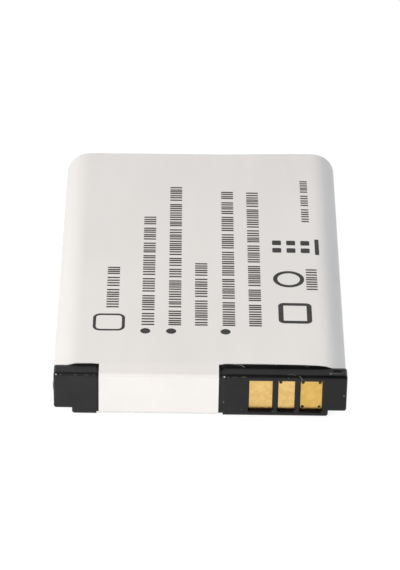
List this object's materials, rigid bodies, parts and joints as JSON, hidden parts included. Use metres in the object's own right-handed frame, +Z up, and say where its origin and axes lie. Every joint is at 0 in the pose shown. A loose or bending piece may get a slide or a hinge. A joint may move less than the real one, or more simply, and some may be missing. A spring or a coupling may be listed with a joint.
{
  "type": "cordless phone battery",
  "caption": "Flat rechargeable battery pack for a cordless handset: film-wrapped cell with a moulded black end cap, gold contacts in windows and key notches.",
  "frame": {"origin": "under the middle of the pack, on the surface it lies on", "axes": "+Z up through the thickness, +Y from the contact end to the closed end, +X to the right seen from the contact end"},
  "size_m": [0.0344, 0.0524, 0.0062],
  "materials": {
    "label_film": "white polyester film label, satin",
    "cap_plastic": "black moulded plastic, fine matt texture",
    "contact_gold": "gold plating over nickel and copper, lightly wiped",
    "board_laminate": "glass and resin laminate with a brown-black mask",
    "can_metal": "drawn aluminium, dull",
    "nickel": "nickel strip, rolled",
    "gasket_plastic": "natural plastic",
    "insulator_fibre": "grey-green insulating fibre sheet",
    "chip_resin": "black moulding resin with tinned leads",
    "cutoff_resin": "dark moulding resin",
    "resistor_ceramic": "dark glaze on white ceramic, tinned ends",
    "capacitor_ceramic": "tan ceramic, tinned ends",
    "tape_film": "amber film tape",
    "foam": "black closed-cell foam",
    "pad_plastic": "white insulating sheet"
  },
  "bodies": {
    "root": {"cell_can": "can_metal", "terminal_gasket": "gasket_plastic", "terminal_rivet": "nickel", "clad_plate": "nickel", "lid_insulator": "insulator_fibre", "circuit_board": "board_laminate", "left_contact": "contact_gold", "middle_contact": "contact_gold", "right_contact": "contact_gold", "positive_weld_pad": "nickel", "negative_weld_pad": "nickel", "positive_lead": "nickel", "negative_lead": "nickel", "cutoff_lead": "nickel", "thermal_cutoff": "cutoff_resin", "cutoff_tape": "tape_film", "protection_chip": "chip_resin", "switch_transistors": "chip_resin", "filter_resistor": "resistor_ceramic", "sense_resistor": "resistor_ceramic", "id_resistor": "resistor_ceramic", "filter_capacitor": "capacitor_ceramic", "output_capacitor": "capacitor_ceramic", "thermistor": "resistor_ceramic", "board_foam": "foam", "front_cap": "cap_plastic", "rear_pad": "pad_plastic", "label_wrap": "label_film"}
  },
  "joints": []
}
